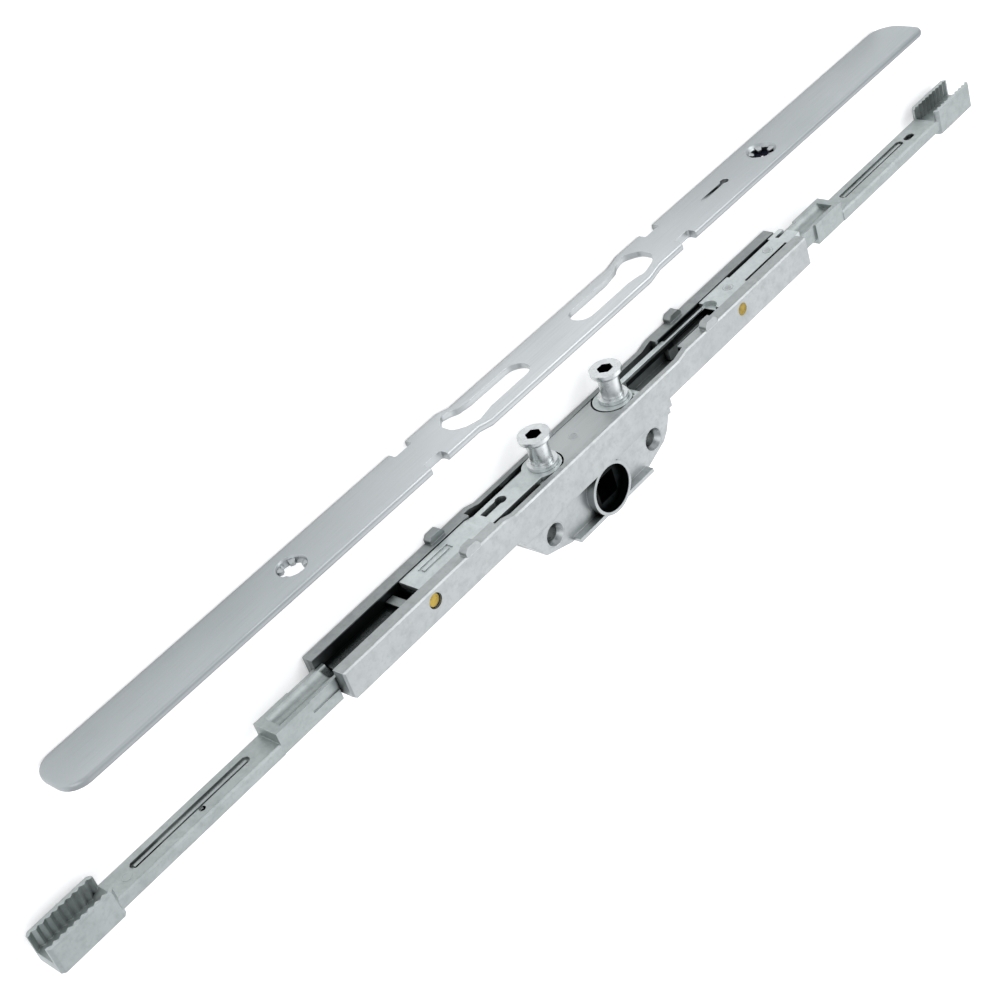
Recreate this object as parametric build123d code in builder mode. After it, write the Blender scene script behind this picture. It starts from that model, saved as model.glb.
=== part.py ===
from build123d import *
from math import acos, cos, pi, radians, sin, sqrt, tan
import os

os.makedirs("parts", exist_ok=True)

# Frame of the part
# X runs along the lock, Y points to the faceplate, Z points to the front case
# The origin is on the spindle axis, midway through the thickness of the case

# Travel and gearing
hub_turn = 90.0
sector_pitch_r = 12.0
sector_module = 0.75
travel = sector_pitch_r * radians(hub_turn)
pinion_pitch_r = 3.0
pinion_module = 0.5
backlash = 0.14

# Case
case_half = 7.75
case_left = -97.5
case_right = 98.5
case_bottom = 9.0
case_top = 17.5
case_step = 1.0
step_left_out = -37.0
step_left_in = -33.5
step_right_in = 36.5
step_right_out = 40.5
case_edge = 0.5
floor_t = 1.0
channel_half = 3.85
wide_channel_half = 5.65
wide_left = -39.0
wide_right = 41.0
deep_right = 24.5
ledge_y = 12.6
end_chamfer = 1.0

# Bulge round the hub
bulge_right_x = 29.3
bulge_cheek_y = 2.4
bulge_side_x = 27.4
bulge_side_y = -1.0
bulge_toe_x = 25.2
bulge_toe_y = -3.2
bulge_left_x = -35.0
bulge_shoulder_x = -32.3
bulge_shoulder_y = 5.0
bulge_corner_x = -26.4
bulge_corner_y = -3.3
bulge_foot_x = 16.8
bulge_foot_y = -6.3
recess_depth = 2.6
recess_top = 6.6
lip_half_x = 16.0
lip_t = 1.1
collar_r = 7.6
hub_hole_r = 6.7
chamber_half = 3.6
chamber_r = 13.3
chamber_floor = -5.0
trench_half_x = 27.5
trench_y = 10.9

# Lugs that take the faceplate
lug_left_x = -49.5
lug_right_x = 52.3
lug_len = 5.2
lug_t = 2.5
lug_inset = 0.15
lug_h = 2.0
lug_corner = 1.0
nub_y = 2.7
nub_len = 2.5
nub_reach = 1.3
nub_t = 2.6

# Fixings
fixing_x = 21.5
fixing_y = 0.0
fixing_bore_r = 2.3
tube_r = 3.5
tube_flare_r = 3.25
tube_flare_depth = 1.8
press_fit = 0.02

# Guide pins
pin_x = 65.6
pin_y = 14.3
pin_head_r = 1.8
pin_shank_r = 1.2
pin_slot_gap = 0.1
pin_ring_r = 2.15
pin_ring_depth = 0.6

# Hub
hub_r = 6.6
hub_half = 5.55
sector_half = 3.3
spindle_square = 7.1
sector_lead = 6.0

# Slides
slide_half = 3.55
slide_floor = 10.3
rack_half = 3.3
web_bottom = 12.94
web_top = 13.7
wide_slide_half = 5.35
rail_bottom = 14.0
rail_top = 15.1
rail_half_in = 3.5
boss_r = 5.5
boss_top = 16.4
boss_under = 15.5
boss_keep = 2.3
plate_top = 17.2
cam_left_x = -14.2
cam_right_x = 16.1
cam_shank_r = 1.8
cam_fit = 0.05

# Left slide
left_tongue_end = -95.0
left_wall_x = -72.0
left_wall_top = 15.4
left_gap_x = -69.3
left_gap_floor = 12.6
left_plate_x = -66.2
left_plate_step_out = -41.0
left_plate_step_in = -38.0
left_narrow_end = -19.7
left_lower_end = -43.0
left_boss_end = -9.2
frame_mark_x = -55.5
frame_mark_len = 11.0
frame_mark_z = -0.6
frame_mark_w = 2.6
frame_mark_line = 0.75
frame_mark_depth = 0.35
key_mark_x = -36.9
key_mark_end = -29.8
key_mark_w = 2.2
key_mark_r = 1.6
key_mark_z = -1.0
key_mark_depth = 2.2
rack_start = -5.2
rack_end = 24.2
rail_a_end = 22.6
rail_cut_x = -26.0

# Right slide
rail_b_start = -24.4
far_rail_in = 1.9
far_rail_top = 16.3
far_rail_low_x = 43.0
right_plate_x = 61.0
right_plate_end = 101.0
right_body_split = 68.0
right_split_y = 12.5
relief_start = 74.6
relief_end = 95.0
relief_depth = 0.9
horn_r = 2.3
horn_floor = 15.9
end_slot_x = 96.5
end_slot_z = -1.3
end_slot_w = 1.4
end_slot_depth = 1.2
right_rivet_r = 1.6
right_rivet_x1 = 70.2
right_rivet_x2 = 90.0

# Drive bars and connectors
tongue_split_y = 12.25
tongue_top = 14.2
left_neck_end = -84.0
bar_bottom = 8.8
bar_top = 12.0
bar_half = 4.4
bar_edge = 0.6
block_top = 15.2
block_half = 4.2
block_step_half = 3.85
block_step = 8.8
left_block_in = -98.0
left_block_out = -118.3
right_block_in = 108.0
right_block_out = 121.3
connector_half = 4.9
connector_bottom = 7.4
connector_top = 15.3
connector_floor = 10.2
connector_wall = 1.5
connector_len = 19.1
connector_corner = 0.9
connector_ramp = 2.6
serration_margin = 1.1
left_connector_x = -169.7
right_connector_x = 174.7
serration_pitch = 2.0
serration_depth = 0.65
scoop_r = 3.1
scoop_axis_y = 16.7
groove_half = 1.3
groove_z = -0.5
groove_depth = 0.9
groove_corner = 0.8
groove_lead = 6.5
left_groove_end = -162.3
right_groove_end = 161.4
rib_half = 0.4
rib_drop = 0.3
rib_gap = 0.9
left_rivet_r = 1.2
left_rivet_x1 = -91.5
left_rivet_x2 = -87.0
bar_hole_x = -141.6
bar_hole_z = 1.5
bar_hole_r = 0.9
pocket_x = 164.4
pocket_z = 0.4
pocket_len = 4.2
pocket_w = 2.4
pocket_depth = 1.4

# Cams
cam_offset = 0.7
cam_collar_bottom = 16.45
cam_collar_top = 17.6
cam_collar_r = 4.25
cam_neck_r = 3.0
cam_head_r = 4.5
cam_head_under = 23.5
cam_head_rim = 24.8
cam_head_top = 26.0
cam_hex = 4.0
cam_hex_depth = 2.6

# Bridge and reversing pinion
pinion_x = -1.0
bridge_bottom = 15.4
bridge_top = 16.3
bridge_gap = 0.5
bridge_half = 5.6
tab_half_x = 4.0
tab_reach = 6.9
tab_play = 0.04
axle_r = 1.1
axle_fit = 0.05

# Faceplate
plate_left = -168.3
plate_right = 171.5
plate_half = 7.75
plate_t = 2.3
plate_face = 46.0
plate_step = 1.1
plate_step_left_out = -35.0
plate_step_left_in = -30.5
plate_step_right_in = 34.5
plate_step_right_out = 39.0
plate_edge = 0.5
plate_corner = 5.5
notch_len = 6.2
notch_depth = 2.9
slot_half = 3.7
key_half = 5.2
slot_left_out = -38.9
slot_left_in = -8.6
slot_right_in = 11.4
slot_right_out = 42.9
key_len = 7.5
screw_left_x = -93.8
screw_right_x = 97.0
screw_r = 2.3
screw_sink_r = 4.0
screw_sink_depth = 1.5
hang_slot_x = 69.3
hang_hole_x = 79.8
hang_slot_z = -0.4
hang_slot_w = 1.0
hang_slot_depth = 1.7
hang_hole_r = 1.25


def slab(x0, x1, y0, y1, z0, z1, mode=Mode.ADD):
    with Locations(((x0 + x1) / 2, (y0 + y1) / 2, (z0 + z1) / 2)):
        Box(abs(x1 - x0), abs(y1 - y0), abs(z1 - z0), mode=mode)


def post_z(x, y, z0, z1, r, mode=Mode.ADD):
    with Locations((x, y, (z0 + z1) / 2)):
        Cylinder(r, abs(z1 - z0), mode=mode)


def post_y(x, z, y0, y1, r, mode=Mode.ADD):
    with Locations((x, (y0 + y1) / 2, z)):
        Cylinder(r, abs(y1 - y0), rotation=(90, 0, 0), mode=mode)


def cone_z(x, y, z0, r0, z1, r1, mode=Mode.ADD):
    with Locations((x, y, (z0 + z1) / 2)):
        Cone(r0, r1, z1 - z0, mode=mode)


def cone_y(x, z, y0, r0, y1, r1, mode=Mode.ADD):
    with Locations((x, (y0 + y1) / 2, z)):
        Cone(r0, r1, y1 - y0, rotation=(-90, 0, 0), mode=mode)


def prism_z(points, z0, z1, mode=Mode.ADD):
    with BuildSketch(Plane.XY.offset(z0)) as face:
        with BuildLine():
            Polyline(*points, close=True)
        make_face()
    extrude(face.sketch, amount=z1 - z0, mode=mode)


def prism_y(points, y0, y1, mode=Mode.ADD):
    with BuildSketch(Plane.XZ.offset(-y1)) as face:
        with BuildLine():
            Polyline(*points, close=True)
        make_face()
    extrude(face.sketch, amount=y1 - y0, mode=mode)


def prism_x(points, x0, x1, mode=Mode.ADD):
    with BuildSketch(Plane.YZ.offset(x0)) as face:
        with BuildLine():
            Polyline(*points, close=True)
        make_face()
    extrude(face.sketch, amount=x1 - x0, mode=mode)


def cut_corner_box(x0, x1, z0, z1, corner):
    # Corners of a rectangle whose four corners are cut off, in X and Z
    a, b = min(x0, x1), max(x0, x1)
    c, d = min(z0, z1), max(z0, z1)
    return [(a + corner, c), (b - corner, c), (b, c + corner), (b, d - corner),
            (b - corner, d), (a + corner, d), (a, d - corner), (a, c + corner)]


def involute_half_angle(r, pitch_r, half_at_pitch, pressure):
    base_r = pitch_r * cos(pressure)
    if r <= base_r:
        roll = 0.0
    else:
        roll = tan(acos(base_r / r)) - acos(base_r / r)
    return half_at_pitch + (tan(pressure) - pressure) - roll


def tooth_points(centre_angle, pitch_r, module, tip, root, pressure):
    half = (pi * module / 2 - backlash / 2) / 2 / pitch_r
    tip_r = pitch_r + tip * module
    root_r = pitch_r - root * module
    steps = 3
    radii = [root_r + (tip_r - root_r) * i / steps for i in range(steps + 1)]
    low = [(r, centre_angle - involute_half_angle(r, pitch_r, half, pressure)) for r in radii]
    high = [(r, centre_angle + involute_half_angle(r, pitch_r, half, pressure)) for r in reversed(radii)]
    return [(r * cos(a), r * sin(a)) for r, a in low + high]


def rack_points(start, end, centre, module, pitch_line, tip, root, pressure, back):
    half = (pi * module / 2 - backlash / 2) / 2
    tip_y = pitch_line - tip * module
    root_y = pitch_line + root * module
    tip_half = half - tip * module * tan(pressure)
    root_half = half + root * module * tan(pressure)
    pitch = pi * module
    points = [(start, back), (start, root_y)]
    k = 0
    while centre + (k - 0.5) * pitch - root_half > start:
        k -= 1
    k += 1
    while centre + (k - 0.5) * pitch + root_half < end:
        mid = centre + (k - 0.5) * pitch
        points += [(mid - root_half, root_y), (mid - tip_half, tip_y)]
        points += [(mid + tip_half, tip_y), (mid + root_half, root_y)]
        k += 1
    return points + [(end, root_y), (end, back)]


# Outline of a case half, seen from the front
centre_top = case_top - case_step
top_line = [(case_left, case_top), (step_left_out, case_top), (step_left_in, centre_top)]
top_line += [(step_right_in, centre_top), (step_right_out, case_top), (case_right, case_top)]
right_line = [(case_right, case_bottom), (bulge_right_x, case_bottom), (bulge_right_x, bulge_cheek_y)]
right_line += [(bulge_side_x, bulge_side_y), (bulge_toe_x, bulge_toe_y), (bulge_foot_x, bulge_foot_y)]
left_line = [(-bulge_foot_x, bulge_foot_y), (bulge_corner_x, bulge_corner_y)]
left_line += [(bulge_shoulder_x, bulge_shoulder_y), (bulge_left_x, case_bottom)]
left_line += [(case_left + end_chamfer, case_bottom), (case_left, case_bottom + end_chamfer)]
case_line = top_line + right_line + left_line


def case_half_solid(side):
    # One half: side is 1 for the front and -1 for the rear
    outer = side * case_half
    floor_z = side * (case_half - recess_depth)
    prism_z(case_line, min(0, outer), max(0, outer))
    outer_edges = [e for e in edges() if abs(e.center().Z - outer) < 0.01]
    top_edges = [e for e in outer_edges if e.center().Y > centre_top - 0.01]
    end_edges = [e for e in outer_edges if e.center().X > case_right - 0.01 or e.center().X < case_left + 0.01]
    chamfer(top_edges + end_edges, case_edge)
    # Channel for the narrow parts of the slides
    low = case_bottom + floor_t
    reach = side * channel_half
    slab(case_left - 1, wide_left, low, case_top + 1, -side, reach, Mode.SUBTRACT)
    slab(deep_right, case_right + 1, low, case_top + 1, -side, reach, Mode.SUBTRACT)
    # Wide channel for the racks and the cam bosses
    slab(wide_left, wide_right, ledge_y, case_top + 1, -side, side * wide_channel_half, Mode.SUBTRACT)
    # Low areas beside the hub, with a lip and a round collar left standing
    with BuildSketch(Plane.XY.offset(min(floor_z, outer + side))) as low_area:
        with Locations((0, recess_top - 15)):
            Rectangle(2 * case_right, 30)
        with Locations((0, bulge_foot_y + lip_t / 2)):
            Rectangle(2 * lip_half_x, lip_t, mode=Mode.SUBTRACT)
    extrude(low_area.sketch, amount=recess_depth + 1, mode=Mode.SUBTRACT)
    post_z(0, 0, 0, outer, collar_r)
    # Chamber for the toothed sector and trench for the teeth of the rack
    deep = side * chamber_half
    with BuildSketch(Plane.XY.offset(min(-side, deep))) as room:
        RegularPolygon(chamber_r, 8, major_radius=False, rotation=22.5)
        with Locations((0, chamber_floor - chamber_r)):
            Rectangle(4 * chamber_r, 2 * chamber_r, mode=Mode.SUBTRACT)
    extrude(room.sketch, amount=abs(deep) + 1, mode=Mode.SUBTRACT)
    slab(-trench_half_x, trench_half_x, trench_y, ledge_y + 1, -side, deep, Mode.SUBTRACT)
    # Bore for the hub and holes for the tube rivets
    post_z(0, 0, -side, outer + side, hub_hole_r, Mode.SUBTRACT)
    for x in (-fixing_x, fixing_x):
        post_z(x, fixing_y, -side, outer, tube_r + press_fit, Mode.SUBTRACT)
    # Nub on the right side of the bulge
    slab(bulge_right_x - 1, bulge_right_x + nub_reach, nub_y, nub_y + nub_len, floor_z, floor_z - side * nub_t)
    # Lugs on the top edge
    lug_out = side * (case_half - lug_inset)
    for x in (lug_left_x, lug_right_x):
        slab(x - lug_len / 2, x + lug_len / 2, case_top - 0.5, case_top + lug_h, lug_out, lug_out - side * lug_t)
    # Slot for the tab of the bridge
    tab_low = bridge_bottom - tab_play
    tab_high = bridge_top + tab_play
    tab_end = side * (tab_reach + tab_play)
    slab(pinion_x - tab_half_x, pinion_x + tab_half_x, tab_low, tab_high, 0, tab_end, Mode.SUBTRACT)


with BuildPart() as front_case:
    case_half_solid(1)
    for x in (-pin_x, pin_x):
        post_z(x, pin_y, 0, case_half + 1, pin_head_r + press_fit, Mode.SUBTRACT)
    post_z(-pin_x, pin_y, case_half - pin_ring_depth, case_half + 1, pin_ring_r, Mode.SUBTRACT)
    lug_tops = [e for e in front_case.edges().filter_by(Axis.Z) if e.center().Y > case_top + lug_h - 0.1]
    chamfer(lug_tops, lug_corner)

with BuildPart() as rear_case:
    case_half_solid(-1)
    for x in (-pin_x, pin_x):
        post_z(x, pin_y, -case_half - 1, 0, pin_shank_r + press_fit, Mode.SUBTRACT)
    lug_tops = [e for e in rear_case.edges().filter_by(Axis.Z) if e.center().Y > case_top + lug_h - 0.1]
    chamfer(lug_tops, lug_corner)

with BuildPart() as middle_bridge:
    slab(cam_left_x, cam_right_x, bridge_bottom, bridge_top, -bridge_half, bridge_half)
    slab(pinion_x - tab_half_x + tab_play, pinion_x + tab_half_x - tab_play, bridge_bottom, bridge_top,
         -tab_reach, tab_reach)
    for x in (cam_left_x, cam_right_x):
        post_y(x, 0, bridge_bottom - 1, bridge_top + 1, boss_r + bridge_gap, Mode.SUBTRACT)
    post_y(pinion_x, 0, bridge_bottom - 1, bridge_top + 1, axle_r + press_fit, Mode.SUBTRACT)

with BuildPart() as pinion_axle:
    post_y(pinion_x, 0, rail_bottom, bridge_top, axle_r)

# Reversing pinion between the two side racks
pinion_pressure = radians(25)
with BuildPart() as reversing_pinion:
    teeth = int(round(2 * pinion_pitch_r / pinion_module))
    with BuildSketch(Plane.XZ.offset(-rail_top)) as pinion_face:
        with Locations((pinion_x, 0)):
            Circle(pinion_pitch_r - pinion_module)
        for i in range(teeth):
            flank = tooth_points(2 * pi * i / teeth, pinion_pitch_r, pinion_module, 0.8, 1.05, pinion_pressure)
            with BuildLine():
                Polyline(*[(x + pinion_x, z) for x, z in flank], (pinion_x, 0), close=True)
            make_face()
        with Locations((pinion_x, 0)):
            Circle(axle_r + axle_fit, mode=Mode.SUBTRACT)
    extrude(amount=rail_top - rail_bottom)

# Hub with the toothed sector
sector_pressure = radians(20)
sector_step = pi * sector_module / sector_pitch_r
with BuildPart() as drive_hub:
    post_z(0, 0, -hub_half, hub_half, hub_r)
    root_r = sector_pitch_r - 1.25 * sector_module
    lead = radians(sector_lead)
    arc = [(root_r * cos(a), root_r * sin(a)) for a in
           [-lead + (radians(hub_turn) + 2 * lead) * i / 24 for i in range(25)]]
    prism_z([(0, 0)] + arc, -sector_half, sector_half)
    for i in range(int(round(radians(hub_turn) / sector_step)) + 1):
        flank = tooth_points(i * sector_step, sector_pitch_r, sector_module, 1.0, 1.3, sector_pressure)
        prism_z(flank, -sector_half, sector_half)
    slab(-spindle_square / 2, spindle_square / 2, -spindle_square / 2, spindle_square / 2,
         -hub_half - 1, hub_half + 1, Mode.SUBTRACT)

with BuildPart() as left_slide:
    # Tongue on the drive bar and the end wall of the pin slot
    slab(left_tongue_end, left_wall_x + 1, tongue_split_y, tongue_top, -slide_half, slide_half)
    slab(left_wall_x, left_plate_x + 1, slide_floor, left_wall_top, -slide_half, slide_half)
    # Slotted web with the flush plate on top
    body = [(left_plate_x, slide_floor), (left_lower_end, slide_floor), (left_lower_end, web_bottom)]
    body += [(left_narrow_end, web_bottom), (left_narrow_end, boss_top), (left_plate_step_in, boss_top)]
    body += [(left_plate_step_out, plate_top), (left_plate_x, plate_top)]
    prism_z(body, -slide_half, slide_half)
    # Cam boss
    post_y(cam_left_x, 0, rail_top, boss_top, boss_r)
    slab(left_narrow_end, left_boss_end, web_bottom, rail_top, -boss_keep, wide_slide_half)
    slab(left_narrow_end - 1, cam_left_x, web_bottom, boss_top, -slide_half, slide_half)
    # Room for the side rack of the other slide
    slab(rail_cut_x, left_boss_end, web_top, boss_under, -boss_keep, -wide_slide_half - 1, Mode.SUBTRACT)
    # Hub rack
    points = rack_points(rack_start, rack_end, 0, sector_module, sector_pitch_r, 1.0, 1.25, sector_pressure,
                         web_top)
    prism_z(points, -rack_half, rack_half)
    slab(left_boss_end - 1, rack_end, web_bottom, web_top, -wide_slide_half, wide_slide_half)
    # Side rack for the pinion
    slab(left_narrow_end, rail_a_end, web_top - 0.2, rail_top, rail_half_in + 0.1, wide_slide_half)
    points = rack_points(pinion_x - 3.2, rail_a_end, pinion_x, pinion_module, pinion_pitch_r, 0.8, 1.05,
                         pinion_pressure, rail_half_in + 1)
    prism_y(points, rail_bottom, rail_top)
    # Slot for the guide pin
    slot_r = pin_shank_r + pin_slot_gap
    for x in (-pin_x, -pin_x + travel):
        post_z(x, pin_y, -slide_half - 1, slide_half + 1, slot_r, Mode.SUBTRACT)
    slab(-pin_x, -pin_x + travel, pin_y - slot_r, pin_y + slot_r, -slide_half - 1, slide_half + 1, Mode.SUBTRACT)
    slab(left_gap_x, left_plate_x, left_gap_floor, plate_top + 1, -slide_half - 1, slide_half + 1, Mode.SUBTRACT)
    # Cam bore and the rivets of the drive bar
    post_y(cam_left_x, 0, rail_bottom - 0.1, boss_top + 1, cam_shank_r + cam_fit, Mode.SUBTRACT)
    for x in (left_rivet_x1, left_rivet_x2):
        post_y(x, 0, slide_floor, tongue_top + 1, left_rivet_r + press_fit, Mode.SUBTRACT)
    # Stamped frame and keyhole mark
    for inset, mode in ((0, Mode.SUBTRACT), (frame_mark_line, Mode.ADD)):
        half_x = frame_mark_len / 2 - inset
        half_z = frame_mark_w / 2 - inset
        slab(frame_mark_x - half_x, frame_mark_x + half_x, plate_top - frame_mark_depth, plate_top,
             frame_mark_z - half_z, frame_mark_z + half_z, mode)
    key_floor = boss_top - key_mark_depth
    slab(key_mark_x, key_mark_end, key_floor, plate_top + 1, key_mark_z - key_mark_w / 2,
         key_mark_z + key_mark_w / 2, Mode.SUBTRACT)
    post_y(key_mark_end, key_mark_z, key_floor, plate_top + 1, key_mark_r, Mode.SUBTRACT)

with BuildPart() as right_slide:
    # Cam boss and the side rack
    post_y(cam_right_x, 0, rail_top, boss_top, boss_r)
    slab(cam_right_x - boss_r, cam_right_x + boss_r, rail_bottom, rail_top, -wide_slide_half, boss_keep)
    slab(cam_right_x - boss_r - 1, cam_right_x + boss_r + 1, rail_bottom, boss_under, boss_keep, wide_slide_half + 1,
         Mode.SUBTRACT)
    slab(rail_b_start, cam_right_x, rail_bottom, rail_top, -wide_slide_half, -rail_half_in - 0.1)
    points = rack_points(rail_b_start, pinion_x + 3.2, pinion_x, pinion_module, pinion_pitch_r, 0.8, 1.05,
                         pinion_pressure, rail_half_in + 1)
    prism_y([(x, -z) for x, z in points], rail_bottom, rail_top)
    # Narrow rail along the far wall, across the opening
    slab(cam_right_x, right_plate_x + 1, rail_bottom, far_rail_top, -slide_half, -far_rail_in)
    slab(far_rail_low_x, right_plate_x + 1, slide_floor, far_rail_top, -slide_half, -far_rail_in)
    # Flush plate
    slab(right_plate_x, right_body_split, slide_floor, plate_top, -slide_half, slide_half)
    slab(right_body_split, right_plate_end, right_split_y, plate_top, -slide_half, slide_half)
    for side in (-1, 1):
        slab(relief_start, relief_end, slide_floor, plate_top + 1, side * (slide_half - relief_depth),
             side * (slide_half + 1), Mode.SUBTRACT)
    post_y(right_plate_x, 0, horn_floor, plate_top + 1, horn_r, Mode.SUBTRACT)
    slab(end_slot_x, right_plate_end + 1, plate_top - end_slot_depth, plate_top + 1,
         end_slot_z - end_slot_w / 2, end_slot_z + end_slot_w / 2, Mode.SUBTRACT)
    # Slot for the guide pin
    for x in (pin_x, pin_x - travel):
        post_z(x, pin_y, -slide_half - 1, slide_half + 1, slot_r, Mode.SUBTRACT)
    slab(pin_x - travel, pin_x, pin_y - slot_r, pin_y + slot_r, -slide_half - 1, slide_half + 1, Mode.SUBTRACT)
    # Cam bore and the rivets of the drive bar
    post_y(cam_right_x, 0, rail_bottom - 1, boss_top + 1, cam_shank_r + cam_fit, Mode.SUBTRACT)
    for x in (right_rivet_x1, right_rivet_x2):
        post_y(x, 0, slide_floor, plate_top + 1, right_rivet_r + press_fit, Mode.SUBTRACT)


def drive_bar(side, block_in, block_out, connector_x, groove_end):
    # Connector, grooved bar and scooped block; side is -1 for the left
    connector_end = connector_x + side * connector_len
    plan = cut_corner_box(connector_x, connector_end, -connector_half, connector_half, connector_corner)
    prism_y(plan, connector_bottom, connector_top)
    edge_y = bar_top - bar_edge
    edge_z = bar_half - bar_edge
    profile = [(bar_bottom, -bar_half), (bar_bottom, bar_half), (edge_y, bar_half), (bar_top, edge_z)]
    profile += [(bar_top, -edge_z), (edge_y, -bar_half)]
    prism_x(profile, min(block_out, connector_x + side), max(block_out, connector_x + side))
    # Open channel of the connector, with a ramp up to the bar
    inner = connector_half - connector_wall
    slab(connector_x - side, connector_end + side, connector_floor, connector_top + 1, -inner, inner, Mode.SUBTRACT)
    # Vertical serrations in both walls, a zigzag in plan
    count = int((connector_len - serration_margin) / serration_pitch)
    start = connector_x + side * serration_margin / 2
    for wall in (-1, 1):
        zigzag = [(start, wall * (inner - 0.1))]
        for i in range(count):
            valley = start + side * (i + 0.5) * serration_pitch
            ridge = start + side * (i + 1) * serration_pitch
            zigzag += [(valley, wall * (inner + serration_depth)), (ridge, wall * inner)]
        zigzag += [(start + side * count * serration_pitch, wall * (inner - 0.1))]
        prism_y(zigzag, connector_floor, connector_top + 1, Mode.SUBTRACT)
    ramp_half = inner + serration_depth
    ramp = [(connector_x - side, connector_floor - 0.5), (connector_x - side, bar_top), (connector_x, bar_top)]
    ramp += [(connector_x + side * connector_ramp, connector_floor)]
    ramp += [(connector_x + side * connector_ramp, connector_floor - 0.5)]
    prism_z(ramp, -min(ramp_half, edge_z), min(ramp_half, edge_z))
    # Block with its scooped pocket
    slab(block_in, block_out, bar_bottom, block_top, -block_half, block_half)
    # Groove with a rib left standing in it
    groove_in = block_out + side * groove_lead
    plan = cut_corner_box(groove_in, groove_end, groove_z - groove_half, groove_z + groove_half, groove_corner)
    prism_y(plan, bar_top - groove_depth, bar_top + 1, Mode.SUBTRACT)
    slab(groove_in + side * rib_gap, groove_end - side * rib_gap, bar_top - groove_depth - 0.1,
         bar_top - rib_drop, groove_z - rib_half, groove_z + rib_half)


def scoop(x0, x1):
    with Locations(((x0 + x1) / 2, scoop_axis_y, 0)):
        Cylinder(scoop_r, abs(x1 - x0), rotation=(0, 90, 0), mode=Mode.SUBTRACT)


with BuildPart() as left_drive_bar:
    drive_bar(-1, left_block_in, left_block_out, left_connector_x, left_groove_end)
    slab(left_block_in, left_neck_end, slide_floor, tongue_split_y, -slide_half, slide_half)
    slab(left_block_in, left_tongue_end - 0.3, slide_floor, block_top - 0.2, -slide_half, slide_half)
    scoop(left_block_out + 2.6, left_tongue_end)
    for z in (-1, 1):
        slab(left_block_in - block_step, left_block_in, bar_bottom + 3, block_top + 1, z * block_step_half,
             z * (block_half + 1), Mode.SUBTRACT)
    post_y(bar_hole_x, bar_hole_z, bar_bottom - 1, bar_top + 1, bar_hole_r, Mode.SUBTRACT)
    for x in (left_rivet_x1, left_rivet_x2):
        post_y(x, 0, slide_floor - 1, tongue_top, left_rivet_r + press_fit, Mode.SUBTRACT)

with BuildPart() as right_drive_bar:
    drive_bar(1, right_block_in, right_block_out, right_connector_x, right_groove_end)
    slab(right_body_split, right_block_in, slide_floor, right_split_y, -slide_half, slide_half)
    slab(right_plate_end + 0.1, right_block_in, slide_floor, block_top, -slide_half, slide_half)
    scoop(right_plate_end, right_block_out - 2.4)
    plan = cut_corner_box(pocket_x - pocket_len / 2, pocket_x + pocket_len / 2, pocket_z - pocket_w / 2,
                          pocket_z + pocket_w / 2, groove_corner)
    prism_y(plan, bar_top - pocket_depth, bar_top + 1, Mode.SUBTRACT)
    for side in (-1, 1):
        slab(relief_start, relief_end, slide_floor - 1, plate_top, side * (slide_half - relief_depth),
             side * (slide_half + 1), Mode.SUBTRACT)
    for x in (right_rivet_x1, right_rivet_x2):
        post_y(x, 0, slide_floor - 1, plate_top, right_rivet_r + press_fit, Mode.SUBTRACT)

with BuildPart() as left_bar_rivets:
    for x in (left_rivet_x1, left_rivet_x2):
        post_y(x, 0, slide_floor, tongue_top, left_rivet_r)

with BuildPart() as right_bar_rivets:
    for x in (right_rivet_x1, right_rivet_x2):
        post_y(x, 0, slide_floor, plate_top, right_rivet_r)

with BuildPart() as left_guide_pin:
    post_z(-pin_x, pin_y, channel_half, case_half - pin_ring_depth, pin_head_r)
    post_z(-pin_x, pin_y, -case_half, channel_half, pin_shank_r)

with BuildPart() as right_guide_pin:
    post_z(pin_x, pin_y, channel_half, case_half, pin_head_r)
    post_z(pin_x, pin_y, -case_half, channel_half, pin_shank_r)


def tube_rivet(x):
    # A tube flush with the low areas, flared at both ends
    end = case_half - recess_depth
    post_z(x, fixing_y, -end, end, tube_r)
    post_z(x, fixing_y, -end - 1, end + 1, fixing_bore_r, Mode.SUBTRACT)
    throat = end - tube_flare_depth
    cone_z(x, fixing_y, throat, fixing_bore_r, end, tube_flare_r, Mode.SUBTRACT)
    cone_z(x, fixing_y, -end, tube_flare_r, -throat, fixing_bore_r, Mode.SUBTRACT)


with BuildPart() as left_tube_rivet:
    tube_rivet(-fixing_x)

with BuildPart() as right_tube_rivet:
    tube_rivet(fixing_x)


def cam_stud(pivot_x):
    axis_x = pivot_x + cam_offset
    post_y(pivot_x, 0, rail_bottom + 0.05, cam_collar_bottom, cam_shank_r)
    post_y(axis_x, 0, cam_collar_bottom, cam_head_rim, cam_neck_r)
    post_y(axis_x, 0, cam_head_rim, cam_head_top, cam_head_r)
    cone_y(axis_x, 0, cam_head_under, cam_neck_r, cam_head_rim, cam_head_r)
    with BuildSketch(Plane.XZ.offset(-cam_head_top)) as socket:
        with Locations((axis_x, 0)):
            RegularPolygon(cam_hex / 2, 6, major_radius=False)
    extrude(socket.sketch, amount=cam_hex_depth, mode=Mode.SUBTRACT)


def cam_collar(pivot_x):
    axis_x = pivot_x + cam_offset
    post_y(axis_x, 0, cam_collar_bottom, cam_collar_top, cam_collar_r)
    post_y(axis_x, 0, cam_collar_bottom - 1, cam_collar_top + 1, cam_neck_r + press_fit, Mode.SUBTRACT)


with BuildPart() as left_cam_stud:
    cam_stud(cam_left_x)

with BuildPart() as right_cam_stud:
    cam_stud(cam_right_x)

with BuildPart() as left_cam_collar:
    cam_collar(cam_left_x)

with BuildPart() as right_cam_collar:
    cam_collar(cam_right_x)

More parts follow.
